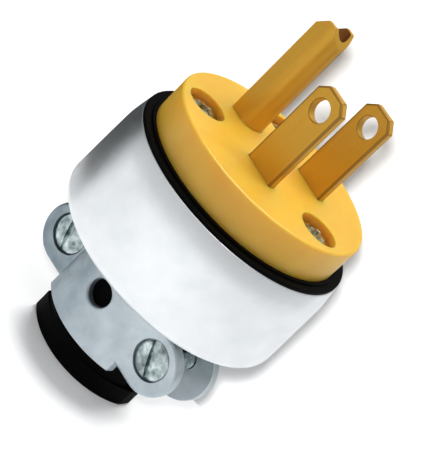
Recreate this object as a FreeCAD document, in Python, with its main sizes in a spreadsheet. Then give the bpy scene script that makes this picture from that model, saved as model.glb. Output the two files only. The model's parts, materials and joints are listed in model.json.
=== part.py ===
import FreeCAD, Part
import math
import operator
import os

import Sketcher

# Armoured three-prong mains plug with a screw-down cable clamp.
# Lengths are in millimetres and angles in degrees. Every piece is drawn from the middle
# of the face: Z runs out of the face along the prongs, Y from the blades towards the
# ground pin, X from the neutral blade to the line blade, and depths count down from the
# face. The pieces are then lifted by FACE_HEIGHT, so the cable end stands on Z = 0.

SIZES = {
    # Face and prongs
    "face_radius": 17.95,
    "face_rim_round": 0.45,
    "body_depth": 12.0,
    "blade_spacing": 12.7,
    "blade_line": 3.4,
    "ground_line": 8.26,
    "blade_width": 6.35,
    "blade_thick": 1.52,
    "blade_length": 16.2,
    "blade_hole_height": 12.8,
    "blade_hole_radius": 1.8,
    "tip_cut_wide": 1.48,
    "tip_cut_tall": 1.45,
    "blade_round": 0.35,
    "ground_length": 20.1,
    "ground_half_wide": 2.7,
    "ground_half_deep": 2.36,
    "ground_sheet": 0.75,
    "ground_end_drop": 0.5,
    "ground_open_cut_wide": 1.6,
    "ground_open_cut_tall": 1.75,
    "ground_fold_cut_wide": 1.6,
    "ground_fold_cut_tall": 2.3,
    "slot_gap": 0.05,
    # Terminals
    "shoulder_half": 4.15,
    "shoulder_tall": 1.5,
    "tail_half": 3.5,
    "tail_drop": 7.2,
    "terminal_drop": 3.8,
    "terminal_head_radius": 3.2,
    "terminal_head_tall": 1.9,
    "terminal_head_dome": 0.57,
    "terminal_shank_radius": 1.75,
    "terminal_shank_long": 4.3,
    "terminal_slot_wide": 1.0,
    "terminal_slot_deep": 1.0,
    "wire_plate_half": 3.1,
    "wire_plate_reach": 3.3,
    "wire_plate_thick": 0.9,
    "wire_plate_lip": 0.7,
    "pocket_half": 4.4,
    "screw_relief": 0.2,
    "thread_gap": 0.04,
    # Terminal block behind the face
    "block_radius": 17.6,
    "block_tall": 6.4,
    "pillar_radius": 3.1,
    # Long screws through the face
    "screw_circle": 13.4,
    "screw_angle": 48.0,
    "recess_radius": 3.3,
    "recess_depth": 3.3,
    "face_head_radius": 2.95,
    "face_head_tall": 2.7,
    "face_head_dome": 0.6,
    "face_slot_wide": 0.9,
    "face_slot_deep": 1.1,
    "face_cross_half": 1.7,
    "face_shank_radius": 1.75,
    "face_shank_out": 0.6,
    "tunnel_gap": 0.15,
    # Shell and its liner
    "rim_depth": 6.9,
    "rim_gap": 1.95,
    "crown_depth": 10.4,
    "crown_flare": 0.6,
    "rear_flare": 1.05,
    "rear_reach": 12.0,
    "shell_wall": 0.8,
    "crown_round": 6.0,
    "shoulder_round": 1.6,
    "dish_radius": 17.0,
    "dish_depth": 1.7,
    "dish_slope": 0.6,
    "liner_shell_gap": 0.1,
    "liner_floor": 1.0,
    "liner_body_gap": 0.05,
    "liner_lip_inset": 0.08,
    "liner_lip_thick": 0.6,
    "liner_bead_wide": 0.65,
    "liner_bead_tall": 0.35,
    # Cable clamp, turned a little round the axis of the plug
    "clamp_turn": 8.0,
    "base_radius": 16.2,
    "base_thick": 1.8,
    "saddle_radius": 12.7,
    "saddle_crest": 10.85,
    "saddle_wall": 1.3,
    "saddle_half": 8.55,
    "saddle_end_reach": 2.4,
    "saddle_top_gap": 0.4,
    "saddle_end_band": 1.1,
    "saddle_end_step": 0.25,
    "ear_line": 12.3,
    "ear_drop": 8.0,
    "ear_radius": 5.25,
    "ear_face": 7.3,
    "ear_round": 0.6,
    "ear_blend": 4.0,
    "front_ear_thick": 1.8,
    "front_ear_sag": 0.5,
    "rear_ear_face": 2.5,
    "rear_ear_radius": 6.0,
    "rear_ear_sag": 1.2,
    "rear_ear_thick": 1.5,
    "rear_boss_radius": 3.4,
    "rear_boss_tall": 1.8,
    "clamp_head_radius": 3.1,
    "clamp_head_tall": 0.9,
    "clamp_head_dome": 0.45,
    "clamp_recess_gap": 0.25,
    "clamp_recess_deep": 1.2,
    "clamp_shank_radius": 1.7,
    "clamp_hole_gap": 0.15,
    "clamp_shank_out": 1.0,
    "clamp_slot_wide": 1.0,
    "clamp_slot_deep": 0.55,
    "clamp_slot_turn_a": 20.0,
    "clamp_slot_turn_b": 30.0,
    "crest_hole_radius": 2.2,
    "crest_hole_lead": 0.8,
    "crest_hole_round": 0.4,
    # Black bushing that lines the cable entry
    "bushing_gap": 0.05,
    "bushing_corner": 1.0,
    "bushing_flat": 10.35,
    "bushing_far_flat": 8.6,
    "bushing_foot_bevel": 0.2,
    "foot_reach": 5.25,
    "foot_arc": 12.3,
    "foot_end": 11.6,
    "foot_tall": 3.4,
    "neck_radius": 7.9,
    "neck_wall": 1.3,
    "neck_step_gap": 0.1,
    "neck_rise": 0.6,
}

TOLERANCE = 1e-3

OPERATIONS = {
    "+": operator.add,
    "-": operator.sub,
    "*": operator.mul,
    "/": operator.truediv,
}


class Size:
    """A number together with the sheet formula that gives it."""

    def __init__(self, value, text=None):
        self.value = float(value)
        self.text = text or repr(float(value))

    def join(self, sign, other, swap=False):
        other = other if isinstance(other, Size) else Size(other)
        left, right = (other, self) if swap else (self, other)
        value = OPERATIONS[sign](left.value, right.value)
        return Size(value, f"({left.text} {sign} {right.text})")

    def __add__(self, other):
        return self.join("+", other)

    def __radd__(self, other):
        return self.join("+", other, swap=True)

    def __sub__(self, other):
        return self.join("-", other)

    def __rsub__(self, other):
        return self.join("-", other, swap=True)

    def __mul__(self, other):
        return self.join("*", other)

    def __rmul__(self, other):
        return self.join("*", other, swap=True)

    def __truediv__(self, other):
        return self.join("/", other)

    def __neg__(self):
        return 0 - self


def root(square):
    return Size(math.sqrt(square.value), f"sqrt({square.text})")


def cosine(angle):
    return Size(math.cos(math.radians(angle.value)), f"cos({angle.text})")


def sine(angle):
    return Size(math.sin(math.radians(angle.value)), f"sin({angle.text})")


ZERO = Size(0)
doc = FreeCAD.newDocument("armoured_plug")
sheet = doc.addObject("Spreadsheet::Sheet", "Sizes")
for row, (name, number) in enumerate(SIZES.items(), start=1):
    sheet.set(f"A{row}", name)
    sheet.set(f"B{row}", str(number))
    sheet.setAlias(f"B{row}", name)
doc.recompute()


def size(name):
    return Size(sheet.get(name), f"Sizes.{name}")


# Depths that follow one another, from the face down to the foot

TERMINAL_DEPTH = size("body_depth") + size("terminal_drop")
TAIL_DEPTH = size("body_depth") + size("tail_drop")
BLOCK_DEPTH = size("body_depth") + size("block_tall")
REAR_DEPTH = size("body_depth") + size("rear_reach")
FLOOR_UNDER = -(REAR_DEPTH - size("dish_depth"))
BASE_UNDER = FLOOR_UNDER - size("base_thick")
EAR_DEPTH = size("ear_drop") - BASE_UNDER
SADDLE_END = EAR_DEPTH + size("ear_radius") + size("saddle_end_reach")
FACE_HEIGHT = SADDLE_END + size("foot_reach")


# Tools for sketches and features

def new_body(label):
    body = doc.addObject("PartDesign::Body", label)
    body.Label = label
    body.setExpression("Placement.Base.z", FACE_HEIGHT.text)
    return body


def new_sketch(body, name, plane, offset=ZERO, turn=None):
    sketch = body.newObject("Sketcher::SketchObject", f"{body.Label}_{name}")
    origin = next(item for item in body.Origin.OriginFeatures if item.Role == f"{plane}_Plane")
    sketch.AttachmentSupport = (origin, [""])
    sketch.MapMode = "FlatFace"
    sketch.setExpression("AttachmentOffset.Base.z", offset.text)
    if turn is not None:
        sketch.setExpression("AttachmentOffset.Rotation.Angle", turn.text)
    return sketch


def bind(sketch, constraint, datum):
    index = sketch.addConstraint(constraint)
    name = f"size_{index}"
    sketch.renameConstraint(index, name)
    sketch.setExpression(f"Constraints.{name}", datum.text)


def pin_point(sketch, geometry, point, x, y):
    bind(sketch, Sketcher.Constraint("DistanceX", -1, 1, geometry, point, x.value), x)
    bind(sketch, Sketcher.Constraint("DistanceY", -1, 1, geometry, point, y.value), y)


def arc_between(start, end, centre):
    """Short arc from start to end round centre, and whether it runs clockwise."""
    a, b, c = (FreeCAD.Vector(x.value, y.value, 0) for x, y in (start, end, centre))
    first = math.atan2(a.y - c.y, a.x - c.x)
    last = math.atan2(b.y - c.y, b.x - c.x)
    clockwise = (last - first) % (2 * math.pi) > math.pi + 1e-6
    if clockwise:
        first, last = last, first
    circle = Part.Circle(c, FreeCAD.Vector(0, 0, 1), (a - c).Length)
    return Part.ArcOfCircle(circle, first, last), clockwise


def draw_outline(sketch, corners, arcs=None):
    """Closed outline through the corners. arcs gives the centre of a side that is round."""
    arcs = arcs or {}
    count = len(corners)
    base = len(sketch.Geometry)
    ends = []
    for i, corner in enumerate(corners):
        after = corners[(i + 1) % count]
        if i in arcs:
            edge, clockwise = arc_between(corner, after, arcs[i])
            ends.append((2, 1) if clockwise else (1, 2))
        else:
            start = FreeCAD.Vector(corner[0].value, corner[1].value, 0)
            end = FreeCAD.Vector(after[0].value, after[1].value, 0)
            edge = Part.LineSegment(start, end)
            ends.append((1, 2))
        sketch.addGeometry(edge, False)
    for i, corner in enumerate(corners):
        after = (i + 1) % count
        joint = Sketcher.Constraint("Coincident", base + i, ends[i][1], base + after, ends[after][0])
        sketch.addConstraint(joint)
        pin_point(sketch, base + i, ends[i][0], corner[0], corner[1])
    for i, centre in arcs.items():
        run_x = abs(corners[i][0].value - corners[(i + 1) % count][0].value)
        run_y = abs(corners[i][1].value - corners[(i + 1) % count][1].value)
        kind, datum = ("DistanceY", centre[1]) if run_x > run_y else ("DistanceX", centre[0])
        bind(sketch, Sketcher.Constraint(kind, -1, 1, base + i, 3, datum.value), datum)


def draw_box(sketch, x_low, x_high, y_low, y_high):
    draw_outline(sketch, [(x_low, y_low), (x_high, y_low), (x_high, y_high), (x_low, y_high)])


def draw_circle(sketch, x, y, radius):
    centre = FreeCAD.Vector(x.value, y.value, 0)
    circle = Part.Circle(centre, FreeCAD.Vector(0, 0, 1), radius.value)
    index = sketch.addGeometry(circle, False)
    pin_point(sketch, index, 3, x, y)
    bind(sketch, Sketcher.Constraint("Radius", index, radius.value), radius)


def draw_oval(sketch, arc_radius, crest, corner):
    """Oval of two wide arcs that face each other in X, joined by two round corners."""
    offset = arc_radius - crest
    reach = root((arc_radius - corner) * (arc_radius - corner) - offset * offset)
    scale = arc_radius / (arc_radius - corner)
    x = offset * (scale - 1)
    y = reach * scale
    corners = [(-x, y), (-x, -y), (x, -y), (x, y)]
    arcs = {0: (offset, ZERO), 1: (ZERO, -reach), 2: (-offset, ZERO), 3: (ZERO, reach)}
    draw_outline(sketch, corners, arcs)


def draw_lens(sketch, arc_radius, crest, low_end, high_end):
    """Two arcs that face each other in X, joined by flat ends at low_end and high_end in Y."""
    offset = arc_radius - crest
    low_x, high_x = (root(arc_radius * arc_radius - end * end) - offset for end in (low_end, high_end))
    corners = [(-high_x, high_end), (-low_x, low_end), (low_x, low_end), (high_x, high_end)]
    draw_outline(sketch, corners, {0: (offset, ZERO), 2: (-offset, ZERO)})


def add_feature(body, kind, sketch):
    feature = body.newObject(f"PartDesign::{kind}", f"{sketch.Name}_{kind.lower()}")
    feature.Profile = sketch
    return feature


def pad(body, sketch, length, backwards=False):
    feature = add_feature(body, "Pad", sketch)
    feature.Reversed = backwards
    feature.setExpression("Length", length.text)
    doc.recompute()
    return feature


def pocket(body, sketch, length, along=True):
    """Cut along the sketch's normal, or against it, and make sure that it removed something."""
    before = body.Shape.Volume
    feature = add_feature(body, "Pocket", sketch)
    feature.Reversed = along
    feature.setExpression("Length", length.text)
    doc.recompute()
    if not body.Shape.Volume < before:
        raise RuntimeError(f"{sketch.Name} cuts nothing")
    return feature


def revolve(body, sketch):
    feature = add_feature(body, "Revolution", sketch)
    feature.ReferenceAxis = (sketch, ["V_Axis"])
    feature.Angle = 360
    doc.recompute()
    return feature


def find_edges(body, wanted):
    edges = enumerate(body.Shape.Edges, start=1)
    lift = FACE_HEIGHT.value
    return [f"Edge{i}" for i, edge in edges if wanted(edge, edge.BoundBox, lift)]


def dress(body, kind, radius, wanted):
    """Fillet or chamfer the edges that wanted picks."""
    names = find_edges(body, wanted)
    if not names:
        raise RuntimeError(f"{body.Label} has no edge for its {kind}")
    base = body.Tip
    feature = body.newObject(f"PartDesign::{kind}", f"{body.Label}_{kind.lower()}")
    feature.Base = (base, names)
    feature.setExpression("Radius" if kind == "Fillet" else "Size", radius.text)
    doc.recompute()
    return feature


def near(a, b):
    return abs(a - b) < TOLERANCE


def flat_ring(radius, z):
    """Picks a full circle round the plug's axis at a radius and height."""
    def wanted(edge, box, lift):
        level = near(box.ZMin, z.value + lift) and near(box.ZMax, z.value + lift)
        return level and near(box.XMax, radius.value) and near(box.XMin, -radius.value)
    return wanted


# Places that several pieces share

FACE_SCREW_PLACES = {
    "face_screw_1": (
        -size("screw_circle") * sine(size("screw_angle")),
        size("screw_circle") * cosine(size("screw_angle")),
    ),
    "face_screw_2": (
        size("screw_circle") * sine(size("screw_angle")),
        size("screw_circle") * cosine(size("screw_angle")),
    ),
    "face_screw_3": (ZERO, -size("screw_circle")),
}

BLADE_OUT = (size("blade_spacing") + size("blade_thick")) / 2
BLADE_IN = (size("blade_spacing") - size("blade_thick")) / 2
GROUND_FOLD = size("ground_line") - size("ground_half_deep")
GROUND_OPEN = size("ground_line") + size("ground_half_deep")
GROUND_TAIL_OUT = GROUND_FOLD + size("ground_sheet")
FLOOR_TOP = FLOOR_UNDER + size("shell_wall")
LINER_FLOOR_TOP = FLOOR_TOP + size("liner_floor")
RIM_RADIUS = size("face_radius") + size("rim_gap")
CROWN_RADIUS = RIM_RADIUS + size("crown_flare")
REAR_RADIUS = RIM_RADIUS + size("rear_flare")
LINER_RADIUS = RIM_RADIUS - size("shell_wall") - size("liner_shell_gap")
LINER_LIP_RADIUS = RIM_RADIUS - size("liner_lip_inset")
LINER_INNER = size("face_radius") + size("liner_body_gap")
SADDLE_CENTRE = size("saddle_radius") - size("saddle_crest")
SADDLE_INNER = size("saddle_radius") - size("saddle_wall")
CREST_INNER = size("saddle_crest") - size("saddle_wall")
CREST_HOLE_DEPTH = EAR_DEPTH - size("crest_hole_lead")
SADDLE_TOP = BASE_UNDER - size("saddle_top_gap")
BUSHING_ARC = SADDLE_INNER - size("bushing_gap")
BUSHING_CREST = CREST_INNER - size("bushing_gap")
NECK_STEP = BASE_UNDER - size("neck_step_gap")
NECK_GAP = size("bushing_gap")
REAR_EAR_BACK = size("rear_ear_face") + size("rear_ear_thick")
CLAMP_SCREW_END = REAR_EAR_BACK + size("rear_boss_tall") + size("clamp_shank_out")


def draw_screw_holes(sketch, radius):
    for x, y in FACE_SCREW_PLACES.values():
        draw_circle(sketch, x, y, radius)


# Moulded face with its prong slots and screw recesses

def face_body():
    body = new_body("face_body")
    disc = new_sketch(body, "disc", "XY", -size("body_depth"))
    draw_circle(disc, ZERO, ZERO, size("face_radius"))
    pad(body, disc, size("body_depth"))
    dress(body, "Fillet", size("face_rim_round"), flat_ring(size("face_radius"), ZERO))
    slots = new_sketch(body, "slots", "XY", -size("body_depth"))
    gap = size("slot_gap")
    low = -size("blade_line") - size("blade_width") / 2 - gap
    high = -size("blade_line") + size("blade_width") / 2 + gap
    draw_box(slots, -BLADE_OUT - gap, -BLADE_IN + gap, low, high)
    draw_box(slots, BLADE_IN - gap, BLADE_OUT + gap, low, high)
    wide = size("ground_half_wide") + gap
    turn = GROUND_FOLD + size("ground_half_wide")
    top = GROUND_OPEN + gap
    corners = [(-wide, top), (-wide, turn), (wide, turn), (wide, top)]
    draw_outline(slots, corners, {1: (ZERO, turn)})
    pocket(body, slots, size("body_depth"))
    tunnels = new_sketch(body, "tunnels", "XY", -size("body_depth"))
    draw_screw_holes(tunnels, size("face_shank_radius") + size("tunnel_gap"))
    pocket(body, tunnels, size("body_depth"))
    recesses = new_sketch(body, "recesses", "XY", -size("recess_depth"))
    draw_screw_holes(recesses, size("recess_radius"))
    pocket(body, recesses, size("recess_depth"))
    return body


# Flat blade with a drilled tip, shoulders that lock it in and a drilled tail

def blade(label, side):
    body = new_body(label)
    start = BLADE_IN if side > 0 else -BLADE_OUT
    middle = -size("blade_line")
    half = size("blade_width") / 2
    top = size("blade_length")
    step = -size("body_depth")
    notch = step - size("shoulder_tall")
    flat = half - size("tip_cut_wide")
    right = [
        (size("tail_half"), -TAIL_DEPTH),
        (size("tail_half"), notch),
        (size("shoulder_half"), notch),
        (size("shoulder_half"), step),
        (half, step),
        (half, top - size("tip_cut_tall")),
        (flat, top),
    ]
    corners = [(middle + y, z) for y, z in right]
    corners += [(middle - y, z) for y, z in reversed(right)]
    outline = new_sketch(body, "outline", "YZ", start)
    draw_outline(outline, corners)
    pad(body, outline, size("blade_thick"))
    holes = new_sketch(body, "holes", "YZ", start)
    draw_circle(holes, middle, size("blade_hole_height"), size("blade_hole_radius"))
    draw_circle(holes, middle, -TERMINAL_DEPTH, size("terminal_shank_radius") + size("thread_gap"))
    pocket(body, holes, size("blade_thick"))

    def prong_edge(edge, box, lift):
        above = box.ZMin > lift + step.value - TOLERANCE
        return above and near(box.XMin, box.XMax) and isinstance(edge.Curve, Part.Line)

    dress(body, "Fillet", size("blade_round"), prong_edge)
    return body


# Ground pin folded from sheet into a U, open away from the blades, with a flat tail

def ground_pin():
    body = new_body("ground_pin")
    wide = size("ground_half_wide")
    inner = wide - size("ground_sheet")
    turn = GROUND_FOLD + wide
    low = -size("body_depth") - size("ground_end_drop")
    fold = new_sketch(body, "fold", "XY", low)
    corners = [
        (-wide, GROUND_OPEN),
        (-wide, turn),
        (wide, turn),
        (wide, GROUND_OPEN),
        (inner, GROUND_OPEN),
        (inner, turn),
        (ZERO, turn - inner),
        (-inner, turn),
        (-inner, GROUND_OPEN),
    ]
    centre = (ZERO, turn)
    draw_outline(fold, corners, {1: centre, 5: centre, 6: centre})
    pad(body, fold, size("ground_length") - low)
    tip = size("ground_length")
    over = tip + size("ground_sheet")
    cuts = new_sketch(body, "tip_cuts", "YZ", -size("ground_half_wide") - size("ground_sheet"))
    open_y = GROUND_OPEN - size("ground_open_cut_wide")
    open_z = tip - size("ground_open_cut_tall")
    draw_outline(cuts, [(open_y, tip), (GROUND_OPEN, open_z), (GROUND_OPEN, over), (open_y, over)])
    fold_y = GROUND_FOLD + size("ground_fold_cut_wide")
    fold_z = tip - size("ground_fold_cut_tall")
    draw_outline(cuts, [(GROUND_FOLD, fold_z), (fold_y, tip), (fold_y, over), (GROUND_FOLD, over)])
    pocket(body, cuts, 2 * (size("ground_half_wide") + size("ground_sheet")))
    step = -size("body_depth")
    notch = step - size("shoulder_tall")
    right = [
        (size("tail_half"), -TAIL_DEPTH),
        (size("tail_half"), notch),
        (size("shoulder_half"), notch),
        (size("shoulder_half"), step),
    ]
    corners = right + [(-x, z) for x, z in reversed(right)]
    tail = new_sketch(body, "tail", "XZ", -GROUND_FOLD)
    draw_outline(tail, corners)
    pad(body, tail, size("ground_sheet"), backwards=True)
    hole = new_sketch(body, "tail_hole", "XZ", -GROUND_FOLD)
    draw_circle(hole, ZERO, -TERMINAL_DEPTH, size("terminal_shank_radius") + size("thread_gap"))
    pocket(body, hole, size("ground_sheet"), along=False)
    return body


# Terminal block behind the face: side pockets for the terminals, pillars for the long screws

def terminal_block():
    body = new_body("terminal_block")
    low = -BLOCK_DEPTH
    tall = size("block_tall")
    disc = new_sketch(body, "disc", "XY", low)
    draw_circle(disc, ZERO, ZERO, size("block_radius"))
    pad(body, disc, tall)
    pillars = new_sketch(body, "pillars", "XY", LINER_FLOOR_TOP)
    draw_screw_holes(pillars, size("pillar_radius"))
    pad(body, pillars, low - LINER_FLOOR_TOP)
    gap = size("slot_gap")
    beyond = size("block_radius") + size("slot_gap")
    middle = -size("blade_line")
    pockets = new_sketch(body, "pockets", "XY", low)
    half = size("pocket_half")
    draw_box(pockets, -beyond, -BLADE_OUT + gap, middle - half, middle + half)
    draw_box(pockets, BLADE_OUT - gap, beyond, middle - half, middle + half)
    draw_box(pockets, -half, half, GROUND_TAIL_OUT - gap, beyond)
    pocket(body, pockets, tall)
    tails = new_sketch(body, "tails", "XY", low)
    draw_tail_slots(tails, size("tail_half") + gap)
    pocket(body, tails, tall)
    shoulders = new_sketch(body, "shoulders", "XY", -size("body_depth") - size("shoulder_tall") - gap)
    draw_tail_slots(shoulders, size("shoulder_half") + gap)
    pocket(body, shoulders, size("shoulder_tall") + gap)
    tunnels = new_sketch(body, "tunnels", "XY", LINER_FLOOR_TOP)
    draw_screw_holes(tunnels, size("face_shank_radius") + size("tunnel_gap"))
    pocket(body, tunnels, -size("body_depth") - LINER_FLOOR_TOP)
    drill_reliefs(body)
    return body


def draw_tail_slots(sketch, half):
    gap = size("slot_gap")
    middle = -size("blade_line")
    draw_box(sketch, -BLADE_OUT, -BLADE_IN + gap, middle - half, middle + half)
    draw_box(sketch, BLADE_IN - gap, BLADE_OUT, middle - half, middle + half)
    draw_box(sketch, -half, half, GROUND_FOLD - gap, GROUND_TAIL_OUT)


def drill_reliefs(body):
    """Clearance behind each terminal for the end of its screw."""
    radius = size("terminal_shank_radius") + size("screw_relief")
    depth = size("terminal_shank_long") - size("wire_plate_thick") + size("screw_relief")
    blade_end = BLADE_OUT - depth
    for name, start in (("neutral_relief", -BLADE_OUT), ("line_relief", blade_end)):
        sketch = new_sketch(body, name, "YZ", start)
        draw_circle(sketch, -size("blade_line"), -TERMINAL_DEPTH, radius)
        pocket(body, sketch, depth)
    sketch = new_sketch(body, "ground_relief", "XZ", -(GROUND_TAIL_OUT - depth))
    draw_circle(sketch, ZERO, -TERMINAL_DEPTH, radius)
    pocket(body, sketch, depth, along=False)


# Terminal screws and the plates that press the wires

TERMINALS = {
    "neutral": (-BLADE_OUT, -size("blade_line"), FreeCAD.Rotation(FreeCAD.Vector(0, 1, 0), -90)),
    "line": (BLADE_OUT, -size("blade_line"), FreeCAD.Rotation(FreeCAD.Vector(0, 1, 0), 90)),
    "ground": (ZERO, GROUND_TAIL_OUT, FreeCAD.Rotation(FreeCAD.Vector(1, 0, 0), -90)),
}


def place(body, x, y, depth, rotation):
    body.Placement = FreeCAD.Placement(FreeCAD.Vector(0, 0, 0), rotation)
    body.setExpression("Placement.Base.x", x.text)
    body.setExpression("Placement.Base.y", y.text)
    body.setExpression("Placement.Base.z", (FACE_HEIGHT - depth).text)


def turned_screw(body, head, shank_radius, shank_long):
    """Screw turned about Z, with the underside of its head at Z = 0."""
    radius, tall, dome = head
    bulge = (radius * radius + dome * dome) / (2 * dome)
    profile = new_sketch(body, "profile", "XZ")
    corners = [
        (ZERO, -shank_long),
        (shank_radius, -shank_long),
        (shank_radius, ZERO),
        (radius, ZERO),
        (radius, tall),
        (ZERO, tall + dome),
    ]
    draw_outline(profile, corners, {4: (ZERO, tall + dome - bulge)})
    revolve(body, profile)


def cut_slot(body, name, half_long, wide, deep, top, along_x=True):
    sketch = new_sketch(body, name, "XY", top - deep)
    if along_x:
        draw_box(sketch, -half_long, half_long, -wide / 2, wide / 2)
    else:
        draw_box(sketch, -wide / 2, wide / 2, -half_long, half_long)
    pocket(body, sketch, 2 * deep)


def terminal_screw(kind):
    body = new_body(f"{kind}_terminal_screw")
    x, y, rotation = TERMINALS[kind]
    dome = size("terminal_head_dome")
    tall = size("terminal_head_tall") - dome
    head = (size("terminal_head_radius"), tall, dome)
    turned_screw(body, head, size("terminal_shank_radius"), size("terminal_shank_long"))
    reach = size("terminal_head_radius") + size("terminal_slot_wide")
    slot = (size("terminal_slot_wide"), size("terminal_slot_deep"), size("terminal_head_tall"))
    cut_slot(body, "slot", reach, *slot)
    out = size("wire_plate_thick")
    place(body, *step_out(kind, x, y, out), TERMINAL_DEPTH, rotation)
    return body


def step_out(kind, x, y, out):
    """Point that lies out from a terminal's face by a distance."""
    if kind == "neutral":
        return x - out, y
    if kind == "line":
        return x + out, y
    return x, y + out


def turn_clamp_piece(body):
    """Turn a finished body with the clamp, round the axis of the plug."""
    body.setExpression("Placement.Rotation.Angle", size("clamp_turn").text)


def draw_turned_box(sketch, low, high, half, turned):
    """Box from low to high along Y, or along X when it is turned."""
    if turned:
        draw_box(sketch, low, high, -half, half)
    else:
        draw_box(sketch, -half, half, low, high)


def wire_plate(kind):
    """Square plate under the screw head, with two lips that keep the strands in."""
    body = new_body(f"{kind}_wire_plate")
    x, y, rotation = TERMINALS[kind]
    half = size("wire_plate_half")
    reach = size("wire_plate_reach")
    lip = size("wire_plate_lip")
    turned = kind == "ground"
    plate = new_sketch(body, "plate", "XY")
    draw_turned_box(plate, -reach, reach, half, turned)
    pad(body, plate, size("wire_plate_thick"))
    lips = new_sketch(body, "lips", "XY")
    draw_turned_box(lips, -reach - lip, -reach, half, turned)
    draw_turned_box(lips, reach, reach + lip, half, turned)
    pad(body, lips, size("wire_plate_thick") + lip)
    hole = new_sketch(body, "hole", "XY")
    draw_circle(hole, ZERO, ZERO, size("terminal_shank_radius") + size("screw_relief"))
    pocket(body, hole, size("wire_plate_thick"))
    place(body, x, y, TERMINAL_DEPTH, rotation)
    return body


# Drawn steel shell with a dished rear wall

def shell():
    body = new_body("shell")
    wall = size("shell_wall")
    rim = -size("rim_depth")
    crown = -size("crown_depth")
    rear = -REAR_DEPTH
    foot = size("dish_radius") + size("dish_slope")
    profile = new_sketch(body, "profile", "XZ")
    corners = [
        (ZERO, FLOOR_UNDER),
        (size("dish_radius"), FLOOR_UNDER),
        (foot, rear),
        (REAR_RADIUS, rear),
        (CROWN_RADIUS, crown),
        (RIM_RADIUS, rim),
        (RIM_RADIUS - wall, rim),
        (CROWN_RADIUS - wall, crown),
        (REAR_RADIUS - wall, rear + wall),
        (foot + wall, rear + wall),
        (size("dish_radius") + wall, FLOOR_TOP),
        (ZERO, FLOOR_TOP),
    ]
    draw_outline(profile, corners)
    revolve(body, profile)
    outer_rear = flat_ring(REAR_RADIUS, rear)
    inner_rear = flat_ring(REAR_RADIUS - wall, rear + wall)
    dress(body, "Fillet", size("shoulder_round"), outer_rear)
    dress(body, "Fillet", size("shoulder_round") - wall, inner_rear)
    dress(body, "Fillet", size("crown_round"), flat_ring(CROWN_RADIUS, crown))
    opening = new_sketch(body, "opening", "XY", FLOOR_UNDER)
    draw_circle(opening, ZERO, ZERO, size("neck_radius") + NECK_GAP)
    draw_screw_holes(opening, size("face_shank_radius") + size("tunnel_gap"))
    pocket(body, opening, wall)
    return body


# Black insulating liner, whose lip shows as a ring between shell and face

def liner():
    body = new_body("liner")
    rim = -size("rim_depth")
    lip_top = rim + size("liner_lip_thick")
    bead = LINER_INNER + size("liner_bead_wide")
    profile = new_sketch(body, "profile", "XZ")
    corners = [
        (ZERO, FLOOR_TOP),
        (LINER_RADIUS, FLOOR_TOP),
        (LINER_RADIUS, rim),
        (LINER_LIP_RADIUS, rim),
        (LINER_LIP_RADIUS, lip_top),
        (bead, lip_top),
        (bead, lip_top + size("liner_bead_tall")),
        (LINER_INNER, lip_top + size("liner_bead_tall")),
        (LINER_INNER, LINER_FLOOR_TOP),
        (ZERO, LINER_FLOOR_TOP),
    ]
    draw_outline(profile, corners)
    revolve(body, profile)
    opening = new_sketch(body, "opening", "XY", FLOOR_TOP)
    draw_circle(opening, ZERO, ZERO, size("neck_radius") + NECK_GAP)
    draw_screw_holes(opening, size("face_shank_radius") + size("tunnel_gap"))
    pocket(body, opening, size("liner_floor"))
    return body


# Long screws that pull the clamp base, shell, liner and block up against the face

def face_screw(label):
    body = new_body(label)
    x, y = FACE_SCREW_PLACES[label]
    tall = size("face_head_tall") - size("face_head_dome")
    head = (size("face_head_radius"), tall, size("face_head_dome"))
    under = size("recess_depth")
    long = -BASE_UNDER - under + size("face_shank_out")
    turned_screw(body, head, size("face_shank_radius"), long)
    slot = (size("face_slot_wide"), size("face_slot_deep"), size("face_head_tall"))
    cut_slot(body, "slot", size("face_head_radius") + size("face_slot_wide"), *slot)
    cut_slot(body, "cross", size("face_cross_half"), *slot, along_x=False)
    place(body, x, y, under, FreeCAD.Rotation())
    return body


# Cast clamp halves: half pipes with two ears each

def saddle_wall_outline(side):
    """Crescent section of a half pipe on the side of X given by its sign."""
    half = size("saddle_half")
    centre = -side * SADDLE_CENTRE
    out_x = side * (root(size("saddle_radius") * size("saddle_radius") - half * half) - SADDLE_CENTRE)
    in_x = side * (root(SADDLE_INNER * SADDLE_INNER - half * half) - SADDLE_CENTRE)
    corners = [(out_x, half), (out_x, -half), (in_x, -half), (in_x, half)]
    return corners, {0: (centre, ZERO), 2: (centre, ZERO)}


def add_half_pipe(body, side, top):
    low = -SADDLE_END
    corners, arcs = saddle_wall_outline(side)
    section = new_sketch(body, "half_pipe", "XY", low)
    draw_outline(section, corners, arcs)
    pad(body, section, top - low)


def add_ears(body, face, thick, radius, sag):
    """Plate with a round lug at each end, from its low-X face, hung a little below the screws."""
    line = size("ear_line")
    level = -EAR_DEPTH - sag
    ears = new_sketch(body, "ears", "YZ", face)
    low = level - radius
    high = level + radius
    corners = [(-line, low), (line, low), (line, high), (-line, high)]
    draw_outline(ears, corners, {1: (line, level), 3: (-line, level)})
    pad(body, ears, thick)


def blend_low_ear(body):
    """Hollow fillet that runs the half pipe into the ear on the blades' side."""
    radius = size("saddle_radius")
    blend = size("ear_blend")
    rise = size("ear_face") + SADDLE_CENTRE + blend
    reach = root((radius + blend) * (radius + blend) - rise * rise)
    share = radius / (radius + blend)
    top_x = SADDLE_CENTRE - rise * share
    top_y = -reach * share
    face = -size("ear_face")
    inside = face + size("front_ear_thick")
    half_tall = size("ear_radius") - size("ear_round")
    sketch = new_sketch(body, "ear_blend", "XY", -EAR_DEPTH - size("front_ear_sag") - half_tall)
    corners = [(top_x, top_y), (face, -reach), (inside, -reach), (inside, top_y)]
    draw_outline(sketch, corners, {0: (face - blend, -reach)})
    pad(body, sketch, 2 * half_tall)


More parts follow.
